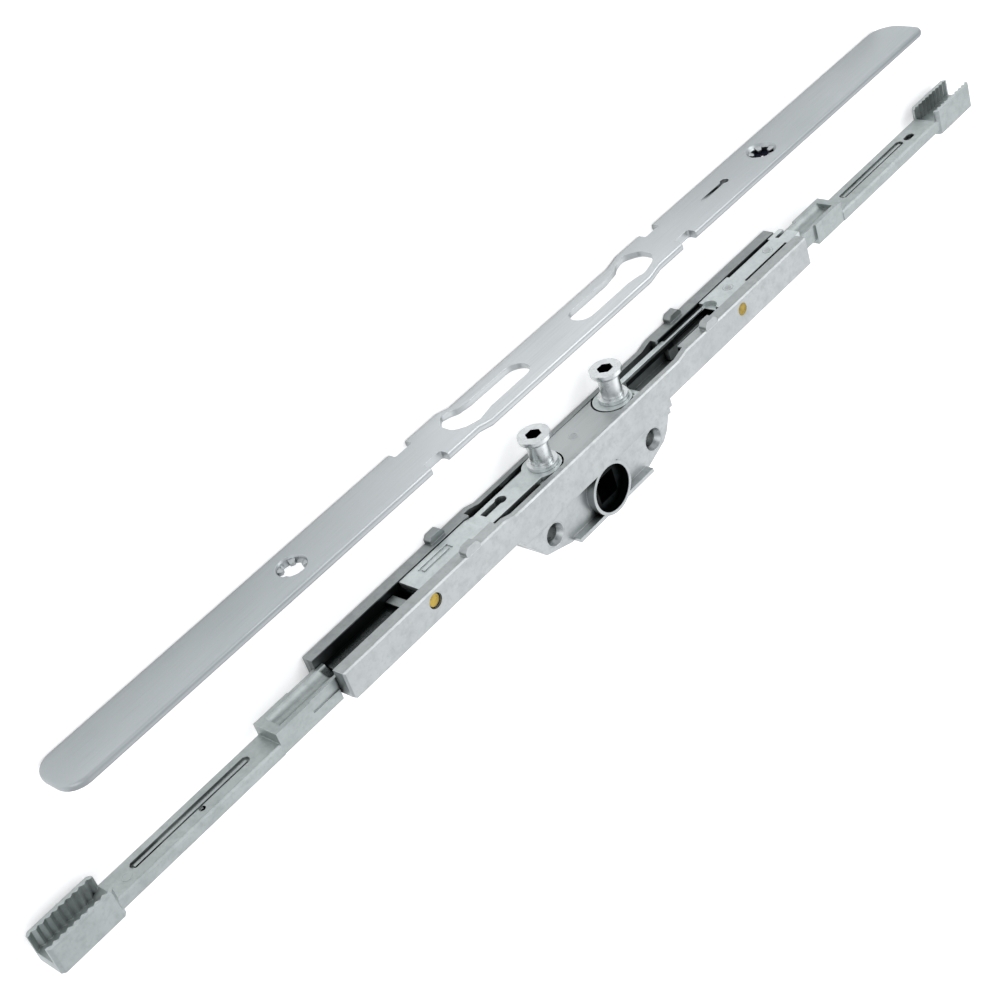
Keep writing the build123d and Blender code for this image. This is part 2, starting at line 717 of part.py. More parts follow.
# Faceplate, lifted off the case along Y
plate_back = plate_face - plate_t
bend = [(plate_left, 0), (plate_step_left_out, 0), (plate_step_left_in, -plate_step)]
bend += [(plate_step_right_in, -plate_step), (plate_step_right_out, 0), (plate_right, 0)]
plate_line = [(x, plate_face + y) for x, y in bend] + [(x, plate_back + y) for x, y in reversed(bend)]
with BuildPart() as faceplate:
    prism_z(plate_line, -plate_half, plate_half)
    with BuildSketch(Plane.XZ.offset(-plate_face - 1)) as blank:
        with Locations(((plate_left + plate_right) / 2, 0)):
            RectangleRounded(plate_right - plate_left, 2 * plate_half, plate_corner)
    extrude(blank.sketch, amount=plate_t + plate_step + 2, mode=Mode.INTERSECT)
    face_edges = [e for e in faceplate.edges() if e.center().Y > plate_face - plate_step - 0.1]
    rim = [e for e in face_edges if not (abs(e.center().Z) < 0.01 and e.geom_type == GeomType.LINE)]
    chamfer(rim, plate_edge)
    for x in (lug_left_x, lug_right_x):
        for side in (-1, 1):
            slab(x - notch_len / 2, x + notch_len / 2, plate_back - 3, plate_face + 1,
                 side * (plate_half - notch_depth), side * (plate_half + 1), Mode.SUBTRACT)
    for inner, outer in ((slot_left_in, slot_left_out), (slot_right_in, slot_right_out)):
        way = 1 if outer > inner else -1
        with BuildSketch(Plane.XZ.offset(-plate_face - 1)) as keyhole:
            with Locations((inner + way * slot_half, 0)):
                Circle(slot_half)
            with Locations(((inner + outer) / 2, 0)):
                Rectangle(abs(outer - inner) - 2 * slot_half, 2 * slot_half)
            with Locations((outer - way * key_half, 0)):
                Circle(key_half)
        extrude(keyhole.sketch, amount=plate_t + plate_step + 2, mode=Mode.SUBTRACT)
    for x in (screw_left_x, screw_right_x):
        post_y(x, 0, plate_back - 1, plate_face + 1, screw_r, Mode.SUBTRACT)
        cone_y(x, 0, plate_face - screw_sink_depth, screw_r, plate_face, screw_sink_r, Mode.SUBTRACT)
    # Hanging hole with a groove that runs out into the face
    post_y(hang_hole_x, hang_slot_z, plate_back - 1, plate_face + 1, hang_hole_r, Mode.SUBTRACT)
    wedge = [(hang_slot_x, plate_face), (hang_hole_x, plate_face - hang_slot_depth), (hang_hole_x, plate_face + 1),
             (hang_slot_x, plate_face + 1)]
    prism_z(wedge, hang_slot_z - hang_slot_w / 2, hang_slot_z + hang_slot_w / 2, Mode.SUBTRACT)

pieces = {
    "front_case": front_case,
    "rear_case": rear_case,
    "middle_bridge": middle_bridge,
    "pinion_axle": pinion_axle,
    "reversing_pinion": reversing_pinion,
    "drive_hub": drive_hub,
    "left_slide": left_slide,
    "right_slide": right_slide,
    "left_drive_bar": left_drive_bar,
    "right_drive_bar": right_drive_bar,
    "left_bar_rivets": left_bar_rivets,
    "right_bar_rivets": right_bar_rivets,
    "left_guide_pin": left_guide_pin,
    "right_guide_pin": right_guide_pin,
    "left_tube_rivet": left_tube_rivet,
    "right_tube_rivet": right_tube_rivet,
    "left_cam_stud": left_cam_stud,
    "right_cam_stud": right_cam_stud,
    "left_cam_collar": left_cam_collar,
    "right_cam_collar": right_cam_collar,
    "faceplate": faceplate,
}
for name, piece in pieces.items():
    piece.part.label = name
    export_step(piece.part, "parts/" + name + ".step")
    print(name, len(piece.part.solids()), round(piece.part.volume, 1))
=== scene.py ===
# %% [markdown]
# # A window gearbox, dressed for a studio picture
# The metalwork of this lock is already built to size. This file loads it, gives every surface its
# finish, adds the small marks that casting and stamping leave, and sets the studio around it.

# %% Load the built part
import bpy
from math import radians
from mathutils import Matrix, Vector


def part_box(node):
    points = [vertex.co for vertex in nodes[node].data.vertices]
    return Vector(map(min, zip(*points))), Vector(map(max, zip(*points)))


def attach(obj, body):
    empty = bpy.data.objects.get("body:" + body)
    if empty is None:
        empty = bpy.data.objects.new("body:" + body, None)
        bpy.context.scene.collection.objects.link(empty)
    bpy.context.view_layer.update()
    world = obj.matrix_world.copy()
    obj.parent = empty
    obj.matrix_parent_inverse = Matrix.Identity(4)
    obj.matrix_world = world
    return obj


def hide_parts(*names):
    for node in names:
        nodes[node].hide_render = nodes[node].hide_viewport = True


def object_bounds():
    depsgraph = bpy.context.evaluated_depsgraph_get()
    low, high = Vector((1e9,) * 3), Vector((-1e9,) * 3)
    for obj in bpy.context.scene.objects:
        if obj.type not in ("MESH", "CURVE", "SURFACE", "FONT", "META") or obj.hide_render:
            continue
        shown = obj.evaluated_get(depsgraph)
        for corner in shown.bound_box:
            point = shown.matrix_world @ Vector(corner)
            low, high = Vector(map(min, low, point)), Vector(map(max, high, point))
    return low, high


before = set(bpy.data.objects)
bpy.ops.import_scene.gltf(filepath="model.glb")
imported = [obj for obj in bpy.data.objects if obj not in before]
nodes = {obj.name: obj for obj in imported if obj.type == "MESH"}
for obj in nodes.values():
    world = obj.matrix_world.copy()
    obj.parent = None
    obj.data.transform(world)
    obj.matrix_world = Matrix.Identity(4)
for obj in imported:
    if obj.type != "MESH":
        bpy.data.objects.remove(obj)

built_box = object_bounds()
bpy.ops.object.select_all(action="DESELECT")
print("nodes", len(nodes), "box", [[round(c, 4) for c in corner] for corner in built_box])

# %% [markdown]
# ## Small tools for node graphs
# A finish is a small graph: a coordinate, some noise, a ramp that turns the noise into a colour or a
# roughness, and a bump. It could be drawn by hand in the shader editor. Written as functions, each
# step has a name, and a finish stays short enough for its numbers to be read.

# %% Nodes, ramps and mixes
def new_finish(name):
    finish = bpy.data.materials.new(name)
    finish.use_nodes = True
    tree = finish.node_tree
    place = tree.nodes.new("ShaderNodeTexCoord").outputs["Object"]
    return finish, tree, tree.nodes["Principled BSDF"], place


def add_node(tree, kind, **values):
    # A value goes to the input of that name, or else to the setting of that name
    node = tree.nodes.new(kind)
    for key, value in values.items():
        if key in node.inputs:
            node.inputs[key].default_value = value
        else:
            setattr(node, key, value)
    return node


def split_axes(tree, place):
    split = tree.nodes.new("ShaderNodeSeparateXYZ")
    tree.links.new(place, split.inputs[0])
    return split.outputs


def ramp(tree, source, low, high, start, end):
    # Goes from low to high while the source goes from start to end
    node = tree.nodes.new("ShaderNodeMapRange")
    node.inputs["From Min"].default_value = start
    node.inputs["From Max"].default_value = end
    node.inputs["To Min"].default_value = low
    node.inputs["To Max"].default_value = high
    tree.links.new(source, node.inputs["Value"])
    return node.outputs["Result"]


def combine(tree, operation, first, second):
    node = add_node(tree, "ShaderNodeMath", operation=operation)
    tree.links.new(first, node.inputs[0])
    if isinstance(second, bpy.types.NodeSocket):
        tree.links.new(second, node.inputs[1])
    else:
        node.inputs[1].default_value = second
    return node.outputs[0]


def mix_colours(tree, factor, at_zero, at_one):
    # A mix node has sockets for numbers, vectors and colours: 6 and 7 are its colours, 2 is their mix
    node = tree.nodes.new("ShaderNodeMix")
    node.data_type = "RGBA"
    tree.links.new(factor, node.inputs[0])
    for socket, colour in ((node.inputs[6], at_zero), (node.inputs[7], at_one)):
        if isinstance(colour, bpy.types.NodeSocket):
            tree.links.new(colour, socket)
        else:
            socket.default_value = (*colour, 1)
    return node.outputs[2]


def shade(colour, factor):
    return [c * factor for c in colour]


# %% [markdown]
# ## Noise, edges and gaps
# Real metal is never one even tone. Noise makes its clouds and its grain. Two masks find places on the shape
# itself: the sharp edges, which get rubbed bright, and the gaps, where shade is painted dark into the colour.
# Such masks could be painted by hand, but one that is worked out from the shape fits every piece at once.

# %% Noise and masks from the shape
def noise(tree, coordinate, size, detail=3.0, stretch=(1, 1, 1)):
    # size is the width of one blotch in metres
    mapping = add_node(tree, "ShaderNodeMapping", Scale=[1 / (size * s) for s in stretch])
    tree.links.new(coordinate, mapping.inputs["Vector"])
    node = add_node(tree, "ShaderNodeTexNoise", Scale=1.0, Detail=detail)
    tree.links.new(mapping.outputs["Vector"], node.inputs["Vector"])
    return node.outputs["Fac"]


def edge_mask(tree, radius):
    # 1 on a sharp edge and 0 on a flat: how far a rounded normal leans from the true one
    rounded = add_node(tree, "ShaderNodeBevel", samples=6, Radius=radius)
    true_normal = tree.nodes.new("ShaderNodeNewGeometry")
    dot = add_node(tree, "ShaderNodeVectorMath", operation="DOT_PRODUCT")
    tree.links.new(rounded.outputs["Normal"], dot.inputs[0])
    tree.links.new(true_normal.outputs["Normal"], dot.inputs[1])
    return ramp(tree, dot.outputs["Value"], 1.0, 0.0, 0.75, 1.0), rounded.outputs["Normal"]


def worn_edges(tree, body, light, radius, amount, gain):
    # Lightens the edges of a body colour, and hands the rounded normal on for the bump
    worn, round_normal = edge_mask(tree, radius)
    factor = ramp(tree, worn, 0.0, amount, 0.0, 1.0)
    return mix_colours(tree, factor, body, shade(light, gain)), round_normal


def cavity_mask(tree, reach, start, end):
    # 1 in the open and 0 deep in a gap: how much of the space within reach is free
    open_space = add_node(tree, "ShaderNodeAmbientOcclusion", samples=8, Distance=reach)
    return ramp(tree, open_space.outputs["AO"], 0.0, 1.0, start, end)


# %% [markdown]
# ## Masks for a known place
# The channels and bores of this lock lie in deep shade, and that shade is painted into their colour, darker
# than their depth alone makes them. There a mask names the place: a round space about an axis, or a box whose
# sides fade. Both read the object coordinate, so the painted shade moves with the piece that carries it.

# %% A round space and a box
bore_fade = 0.00003
mm = 0.001


def bore_mask(tree, place, centre, along, radius, low, high):
    # 0 inside a round space about an axis through centre, between low and high along it, and 1 outside
    local = add_node(tree, "ShaderNodeVectorMath", operation="SUBTRACT")
    tree.links.new(place, local.inputs[0])
    local.inputs[1].default_value = centre
    flat = add_node(tree, "ShaderNodeVectorMath", operation="MULTIPLY")
    flat.inputs[1].default_value = [0.0 if i == along else 1.0 for i in range(3)]
    tree.links.new(local.outputs[0], flat.inputs[0])
    length = add_node(tree, "ShaderNodeVectorMath", operation="LENGTH")
    tree.links.new(flat.outputs[0], length.inputs[0])
    height = split_axes(tree, place)[along]
    outside = ramp(tree, length.outputs["Value"], 0.0, 1.0, radius, radius + bore_fade)
    below = ramp(tree, height, 1.0, 0.0, low - bore_fade, low)
    above = ramp(tree, height, 0.0, 1.0, high, high + bore_fade)
    return combine(tree, "MAXIMUM", combine(tree, "MAXIMUM", outside, below), above)


def box_mask(tree, place, low, high, fade):
    # 1 inside a box and 0 outside it; each side fades over its own width. All are in millimetres.
    axes = split_axes(tree, place)
    inside = None
    for axis in range(3):
        soft = fade[axis] * mm
        lowest, highest = low[axis] * mm, high[axis] * mm
        for start, end in ((lowest - soft, lowest), (highest + soft, highest)):
            side = ramp(tree, axes[axis], 0.0, 1.0, start, end)
            inside = side if inside is None else combine(tree, "MINIMUM", inside, side)
    return inside


# %% [markdown]
# ## What all metals share
# Cast, rolled and turned metal differ in their colour and their marks, but each ends in the same few
# nodes: full metal, a roughness that follows a noise, and a fine bump on top of the rounded normal.

# %% The common end of a metal
def finish_metal(tree, shader, body, rough_noise, roughness, marks, strength, depth, round_normal):
    tree.links.new(body, shader.inputs["Base Color"])
    shader.inputs["Metallic"].default_value = 1.0
    tree.links.new(ramp(tree, rough_noise, *roughness, 0.3, 0.7), shader.inputs["Roughness"])
    bump = add_node(tree, "ShaderNodeBump", Strength=strength, Distance=depth)
    tree.links.new(marks, bump.inputs["Height"])
    tree.links.new(round_normal, bump.inputs["Normal"])
    tree.links.new(bump.outputs["Normal"], shader.inputs["Normal"])


# %% [markdown]
# ## Cast and plated metal
# The case, the slides and the bars are zinc, cast and then tumbled. Such a skin is never even: it has
# a fine orange-peel grain, cloudy patches where the plating took differently, and rubbed, brighter
# edges. One function makes it, so that each casting can have its own brightness and grain.

# %% Cast zinc
# A near-black colour, painted as shade into gaps, bores and channels
painted_shade = (0.008, 0.011, 0.011)
cast_edge, peel_depth = 0.00025, 0.00005
# Two sorts of spots: their width, detail, strength, the noise at which they start, and their tone
spots = ((0.0028, 4.0, 0.45, 0.45, 0.76), (0.0009, 3.0, 0.3, 0.5, 0.7))
# What counts as a gap, and what as covered: the reach, and the free share at either end of the ramp
gap = (0.006, 0.18, 0.52)
cover = (0.012, 0.80, 0.96)


def cast_zinc(name, dark, light, rough=0.42, grain=0.00045, bores=(), pale=(), dark_boxes=()):
    finish, tree, shader, place = new_finish(name)
    clouds = noise(tree, place, 0.012, 5.0)
    body = mix_colours(tree, ramp(tree, clouds, 0, 1, 0.35, 0.65), dark, light)
    for size, detail, amount, start, tone in spots:
        patches = ramp(tree, noise(tree, place, size, detail), 0.0, amount, start, 0.75)
        body = mix_colours(tree, patches, body, shade(dark, tone))
    body, round_normal = worn_edges(tree, body, light, cast_edge, 0.55, 1.3)
    # Where little space is free, the colour goes to near black: painted shade. Pale boxes keep it out.
    open_space = cavity_mask(tree, *gap)
    for low, high, fade, strength in pale:
        inside = combine(tree, "MULTIPLY", box_mask(tree, place, low, high, fade), strength)
        open_space = combine(tree, "MAXIMUM", open_space, inside)
    body = mix_colours(tree, open_space, painted_shade, body)
    # Dark boxes paint shade into channels, some only where other metal covers them
    for low, high, fade, strength, only_covered in dark_boxes:
        inside = combine(tree, "MULTIPLY", box_mask(tree, place, low, high, fade), strength)
        if only_covered:
            covered = ramp(tree, cavity_mask(tree, *cover), 1.0, 0.0, 0.0, 1.0)
            inside = combine(tree, "MULTIPLY", inside, covered)
        body = mix_colours(tree, inside, body, painted_shade)
    # Bores are painted dark inside: painted shade
    for bore in bores:
        body = mix_colours(tree, bore_mask(tree, place, *bore), painted_shade, body)
    peel = noise(tree, place, grain, 2.0)
    finish_metal(tree, shader, body, clouds, (rough - 0.07, rough + 0.09), peel, 0.35, peel_depth,
                 round_normal)
    return finish


# %% [markdown]
# Some places of the castings need painted shade of their own, or less of it. A bore is a centre, an axis, a
# radius and two heights, in metres, and it is painted dark inside as shade. A box is two corners and the
# widths over which its sides fade, in millimetres, and a strength. A pale box keeps the painted shade of the
# gaps out. A dark box is painted with shade, and its last value says whether it works only where other metal
# covers it: so a tongue that slides out of the case turns light.

# %% Places with a tone of their own
# Painted shade inside the hub's hole, a painted shadow ring round the left brass pin, and black painted into
# the left bar's hole
hub_bore = ((0, 0, 0), 2, 0.0068, -0.0075, 0.0075)
pin_ring = ((-0.0656, 0.0143, 0), 2, 0.0021, 0.0069, 0.0077)
blind_hole = ((-0.1416, 0, 0.0015), 1, 0.00092, 0.0090, 0.0118)
front_pocket = ((-39, 12, 3), (-19, 17, 6.0), (0.3, 0.3, 0.1), 0.8)
rear_pocket = ((21, 12, -6.0), (40, 17, -3), (0.3, 0.3, 0.1), 0.8)
left_bar_mark = ((-153, 9, -7), (-108, 20, 7), (1, 1, 1), 0.75)
right_bar_mark = ((115, 9, -7), (160, 20, 7), (1, 1, 1), 0.85)
front_right_wall = ((30, 13.4, 0), (62, 16.7, 5.7), (1, 0.5, 0.03), 1.0, False)
rear_right_wall = ((42, 13.4, -5.7), (62, 16.9, 0), (0.3, 0.5, 0.03), 1.0, False)
rear_left_wall = ((-90, 12.8, -5.7), (-66, 16.9, 0), (14, 0.4, 0.03), 0.93, False)
slide_tongue = ((-97.2, 13.2, -6), (-66.4, 14.6, 6), (0.5, 2.0, 1), 1.0, True)
slide_floor = ((24.4, 13.6, -1.9), (61, 15.2, 6), (0.3, 0.5, 0.02), 0.97, False)
slide_side = ((43.2, 13.6, -6), (60.8, 16.4, -2.6), (0.3, 0.2, 0.1), 0.97, False)
bar_tongue = ((-97.2, 12.8, -6), (-60, 14.4, 6), (0.5, 0.5, 1), 1.0, True)

front_finish = cast_zinc("front_zinc", (0.38, 0.40, 0.40), (0.47, 0.49, 0.49), bores=(hub_bore, pin_ring),
                         pale=(front_pocket,), dark_boxes=(front_right_wall,))
rear_finish = cast_zinc("rear_zinc", (0.26, 0.28, 0.28), (0.33, 0.35, 0.35), bores=(hub_bore,),
                        pale=(rear_pocket,), dark_boxes=(rear_right_wall, rear_left_wall))
slide_finish = cast_zinc("slide_zinc", (0.53, 0.57, 0.565), (0.64, 0.68, 0.675), rough=0.45,
                         dark_boxes=(slide_tongue, slide_floor, slide_side))
bar_finish = cast_zinc("bar_zinc", (0.345, 0.375, 0.37), (0.435, 0.465, 0.46), rough=0.46, grain=0.0005,
                       bores=(blind_hole,), pale=(left_bar_mark, right_bar_mark), dark_boxes=(bar_tongue,))
print("cast finishes", front_finish.name, rear_finish.name, slide_finish.name, bar_finish.name)

# %% [markdown]
# ## Rolled strip
# The faceplate and the small bridge are rolled strip, so their grain runs along X: the same noise,
# stretched sixty times. The strip is also a little lighter towards its middle, as in a studio where
# the light falls off along a long part. A picture of brushed steel could do it, but noise never repeats.

# %% Rolled strip
def rolled_strip(name, dark, light, rough=0.36):
    finish, tree, shader, place = new_finish(name)
    clouds = noise(tree, place, 0.03, 4.0, (2, 1, 1))
    lines = noise(tree, place, 0.00025, 3.0, (60, 1, 1))
    from_middle = combine(tree, "ABSOLUTE", split_axes(tree, place)[0], 0.0)
    body = mix_colours(tree, ramp(tree, from_middle, 1.0, 0.0, 0.02, 0.11), dark, light)
    between = [(d + l) / 2 for d, l in zip(dark, light)]
    body = mix_colours(tree, ramp(tree, clouds, 0.0, 0.5, 0.35, 0.65), body, between)
    body = mix_colours(tree, ramp(tree, lines, 0.0, 0.2, 0.5, 0.8), body, shade(dark, 0.85))
    body, round_normal = worn_edges(tree, body, light, 0.0003, 0.6, 1.3)
    # Gaps are painted near black: painted shade
    body = mix_colours(tree, cavity_mask(tree, 0.003, 0.2, 0.6), painted_shade, body)
    finish_metal(tree, shader, body, lines, (rough - 0.05, rough + 0.1), lines, 0.2, 0.00002, round_normal)
    return finish


plate_finish = rolled_strip("strip_steel", (0.31, 0.335, 0.34), (0.50, 0.52, 0.525))
bridge_finish = rolled_strip("bridge_steel", (0.36, 0.38, 0.38), (0.46, 0.48, 0.48), rough=0.4)
print("rolled finishes", plate_finish.name, bridge_finish.name)

# %% [markdown]
# ## Turned metal
# Cams, collars and rivets are turned, so fine rings run round each piece's own axis. A wave texture in rings,
# centred on that axis, gives them as a bump. Brass, and the steel of the hub and the pinion, which is painted
# near black as the shade they lie in, take the same graph with other colours.

# %% Turned metal
# The rings of a wave texture lie 0.314 / Scale apart: here that is about 0.75 mm
ring_scale = 1250 / 3


def turned_metal(name, dark, light, axis_point, axis, rough=0.28, reach=0.003, bore=None, dark_box=None):
    finish, tree, shader, place = new_finish(name)
    centre = add_node(tree, "ShaderNodeMapping", Location=[-c for c in axis_point])
    tree.links.new(place, centre.inputs["Vector"])
    rings = add_node(tree, "ShaderNodeTexWave", wave_type="RINGS", rings_direction=axis,
                     Scale=ring_scale, Distortion=0.6, Detail=2.0)
    tree.links.new(centre.outputs["Vector"], rings.inputs["Vector"])
    clouds = noise(tree, place, 0.002, 4.0)
    body = mix_colours(tree, ramp(tree, clouds, 0, 1, 0.35, 0.65), dark, light)
    body, round_normal = worn_edges(tree, body, light, 0.0002, 0.5, 1.2)
    # Gaps, a bore and a box are painted near black: painted shade
    body = mix_colours(tree, cavity_mask(tree, reach, 0.15, 0.45), painted_shade, body)
    if bore:
        body = mix_colours(tree, bore_mask(tree, place, *bore), painted_shade, body)
    if dark_box:
        body = mix_colours(tree, box_mask(tree, place, *dark_box), body, painted_shade)
    finish_metal(tree, shader, body, clouds, (rough - 0.05, rough + 0.08), rings.outputs["Fac"], 0.15, 0.00001,
                 round_normal)
    return finish


# %% [markdown]
# ## Finishes on the built pieces
# Each finish now goes to its nodes. A built piece keeps its mesh: only its material slots change. The
# castings and the strip come first, because several of them share one finish.

# %% Castings and strip
def assign(finish, *names):
    for name in names:
        slots = nodes[name].material_slots
        for slot in slots:
            slot.material = finish
        print(name, "->", finish.name, len(slots), "slots")


assign(front_finish, "front_case")
assign(rear_finish, "rear_case")
assign(slide_finish, "left_slide", "right_slide")
assign(bar_finish, "left_drive_bar", "right_drive_bar")
assign(plate_finish, "faceplate")
assign(bridge_finish, "middle_bridge")

# %% [markdown]
# Each turned piece has a finish of its own, because the rings are centred on its own axis. The cams' sockets
# are bores painted dark below the head, as painted shade. The left bar's rivets sit deep under the cast marks,
# so their colour is scaled down as painted shade, and the right brass pin's colour is scaled down too. The
# brass pins are painted dark inside the case, as shade.

# %% Turned pieces
steel = ((0.56, 0.58, 0.58), (0.68, 0.70, 0.70))
rivet_steel = ((0.32, 0.34, 0.34), (0.42, 0.44, 0.44))
tube_steel = ((0.38, 0.40, 0.40), (0.50, 0.52, 0.52))
brass = ((0.27, 0.185, 0.038), (0.43, 0.315, 0.08))
# Near black: painted shade for the hub and the pinion inside the case
painted_black_steel = ((0.001, 0.002, 0.002), (0.006, 0.008, 0.008))
socket_r, socket_depth, socket_lip = 0.00235, 0.004, 0.0001
# The part of the brass pins inside the case is painted dark: painted shade
pin_inside = ((-80, 8, -5.6), (80, 20, 5.6), (1, 1, 0.1))


def middle(node):
    low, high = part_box(node)
    return (low + high) / 2


def turn(name, tones, axis, prefix="turned_", factor=1.0, **options):
    dark, light = (shade(tone, factor) for tone in tones)
    assign(turned_metal(prefix + name, dark, light, middle(name), axis, **options), name)


# Each cam's socket is painted dark below its head: painted shade
for name in ("left_cam_stud", "right_cam_stud"):
    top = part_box(name)[1][1]
    turn(name, steel, "Y", bore=(middle(name), 1, socket_r, top - socket_depth, top - socket_lip))
for name in ("left_cam_collar", "right_cam_collar"):
    turn(name, steel, "Y")
# The left bar's rivets keep a fifth of the colour: painted shade for their depth
for name, factor in (("left_bar_rivets", 0.2), ("right_bar_rivets", 1.0), ("pinion_axle", 1.0)):
    turn(name, rivet_steel, "Y", factor=factor)
for name in ("left_tube_rivet", "right_tube_rivet"):
    turn(name, tube_steel, "Z")
for name, factor in (("left_guide_pin", 1.0), ("right_guide_pin", 0.78)):
    turn(name, brass, "Z", "brass_", factor, reach=0.008, dark_box=pin_inside)
# The hub and the pinion are painted near black, as shade
for name in ("drive_hub", "reversing_pinion"):
    turn(name, painted_black_steel, "Z", "painted_black_", rough=0.38)

# %% [markdown]
# ## Modelling by hand, in code
# The pieces below are made as they would be with a mouse: a primitive is added, shaped in edit mode and
# cut with modifiers. A few helpers keep that safe, since operators act on whatever is selected. They
# clear the selection before they add a piece, pick edges by a rule about their two ends, round the
# edges that run along Y, and cut one shape out of another.

# %% Helpers for modelling
upright = 1e-6


def start_primitive(name, add, place, stretch=(1, 1, 1), **options):
    bpy.ops.object.select_all(action="DESELECT")
    add(location=place, **options)
    piece = bpy.context.object
    piece.name = name
    piece.scale = stretch
    bpy.ops.object.transform_apply(location=True, rotation=True, scale=True)
    return piece


def block(name, place, lengths):
    return start_primitive(name, bpy.ops.mesh.primitive_cube_add, place, lengths, size=1)


def pick_edges(piece, rule):
    # Leaves edit mode on, with the edges picked whose two ends pass the rule
    bpy.ops.object.mode_set(mode="EDIT")
    bpy.ops.mesh.select_mode(type="EDGE")
    bpy.ops.mesh.select_all(action="DESELECT")
    bpy.ops.object.mode_set(mode="OBJECT")
    points = piece.data.vertices
    for edge in piece.data.edges:
        edge.select = rule(points[edge.vertices[0]].co, points[edge.vertices[1]].co)
    bpy.ops.object.mode_set(mode="EDIT")


def round_upright_edges(piece, rule, radius, steps):
    # Rounds the edges that run along Y
    pick_edges(piece, lambda a, b: abs(a.x - b.x) + abs(a.z - b.z) < upright and rule(a))
    bpy.ops.mesh.bevel(offset=radius, segments=steps, affect="EDGES")
    bpy.ops.object.mode_set(mode="OBJECT")


def cut_out(piece, cutter):
    bpy.ops.object.select_all(action="DESELECT")
    bpy.context.view_layer.objects.active = piece
    piece.select_set(True)
    cut = piece.modifiers.new("cut", "BOOLEAN")
    cut.operation, cut.solver, cut.object = "DIFFERENCE", "EXACT", cutter
    bpy.ops.object.modifier_apply(modifier=cut.name)
    bpy.data.objects.remove(cutter, do_unlink=True)


# %% [markdown]
# ## The faceplate
# The real faceplate is rolled strip with rounded long edges, pressed down a little in the middle and
# then punched. The built plate has its size and its holes, but plain edges. Here the same strip is
# made again with the edges rolled round. It could be swept along a line, but a block keeps straight
# faces: it is cut across at the four bends, its middle is moved down, and its rims are bevelled in a
# few steps. It takes the place of the built plate, which stays for contact.

# %% Strip with its bends
near = 1e-5  # points this close, in metres, count as being in the same place
press_down = 0.0011
bends = (-0.0350, -0.0305, 0.0345, 0.0390)
plate_low, plate_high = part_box("faceplate")
strip_back, strip_face = plate_low[1] + press_down, plate_high[1]
strip_middle = ((plate_low[0] + plate_high[0]) / 2, (strip_back + strip_face) / 2, 0)
span = plate_high - plate_low
strip = block("faceplate_strip", strip_middle, (span[0], strip_face - strip_back, span[2]))
bpy.ops.object.mode_set(mode="EDIT")
for bend_x in bends:
    bpy.ops.mesh.select_all(action="SELECT")
    bpy.ops.mesh.bisect(plane_co=(bend_x, 0, 0), plane_no=(1, 0, 0))


def between_bends(point):
    return bends[0] + near < point.x < bends[3] - near


pick_edges(strip, lambda a, b: between_bends(a) and between_bends(b))
bpy.ops.transform.translate(value=(0, -press_down, 0))
bpy.ops.object.mode_set(mode="OBJECT")
print("strip", len(strip.data.vertices), "vertices after the bends")

# %% [markdown]
# The corners of the strip are cut round by the press, each with its own radius, and its long edges are
# rolled. The corners come first, because the rim then runs round them as one line.

# %% Corners and rolled rims
left_corner_r, near_right_corner_r, far_right_corner_r, rim_r = 0.0056, 0.0075, 0.0030, 0.0009
round_upright_edges(strip, lambda a: a.x < plate_low[0] + near, left_corner_r, 8)
round_upright_edges(strip, lambda a: a.x > plate_high[0] - near and a.z < 0, near_right_corner_r, 8)
round_upright_edges(strip, lambda a: a.x > plate_high[0] - near and a.z > 0, far_right_corner_r, 6)
bpy.ops.object.mode_set(mode="EDIT")
bpy.ops.mesh.select_all(action="DESELECT")
bpy.ops.mesh.edges_select_sharp(sharpness=radians(60))
bpy.ops.mesh.bevel(offset=rim_r, segments=4, affect="EDGES")
bpy.ops.object.mode_set(mode="OBJECT")
print("strip", len(strip.data.vertices), "vertices after the rims")

# %% [markdown]
# Punching is a boolean cut with the shape of each punch. A keyhole slot needs three: a long one with
# a round end, an eight-sided one for the wide end, where the cam's head goes through, and a tapered
# block that joins the two. Where each punch stands is counted from the outer end of the slot.

# %% Keyhole slots for the cams
cut_depth = 0.008
cut_y = (strip_back + strip_face) / 2
slot_width, slot_r, slot_stop = 0.0074, 0.00365, 0.005
wide_r, wide_corner_r, wide_back, wide_stretch = 0.0052, 0.0012, 0.0055, 1.06
flat_over_corner = 0.9239  # an octagon's radius to its flats over that to its corners
taper_width, taper_narrow, taper_from, taper_to = 0.0100, 0.70, 0.0060, 0.0138
for inner, outer in ((-0.0086, -0.0389), (0.0114, 0.0429)):
    way = 1 if outer > inner else -1
    slot_end = outer - way * slot_stop
    punch = block("punch", ((inner + slot_end) / 2, cut_y, 0), (abs(slot_end - inner), cut_depth, slot_width))
    round_upright_edges(punch, lambda a: abs(a.x - inner) < near, slot_r, 8)
    cut_out(strip, punch)
    punch = start_primitive("punch", bpy.ops.mesh.primitive_cylinder_add, (outer - way * wide_back, cut_y, 0),
                            (wide_stretch, 1, 1), vertices=8, radius=wide_r / flat_over_corner,
                            depth=cut_depth, rotation=(radians(90), radians(22.5), 0))
    round_upright_edges(punch, lambda a: True, wide_corner_r, 3)
    cut_out(strip, punch)
    taper_start, taper_end = outer - way * taper_from, outer - way * taper_to
    punch = block("punch", ((taper_start + taper_end) / 2, cut_y, 0),
                  (abs(taper_end - taper_start), cut_depth, taper_width))
    pick_edges(punch, lambda a, b: abs(a.x - taper_end) < near and abs(b.x - taper_end) < near)
    bpy.ops.transform.resize(value=(1, 1, taper_narrow), center_override=(taper_end, cut_y, 0))
    bpy.ops.object.mode_set(mode="OBJECT")
    cut_out(strip, punch)
print("strip", len(strip.data.vertices), "vertices after the slots")

# %% [markdown]
# Four notches take the lugs of the case, and two screws hold the strip. A screw hole is a cylinder and
# a cone: the cone's wide end makes the sink for the screw's head.

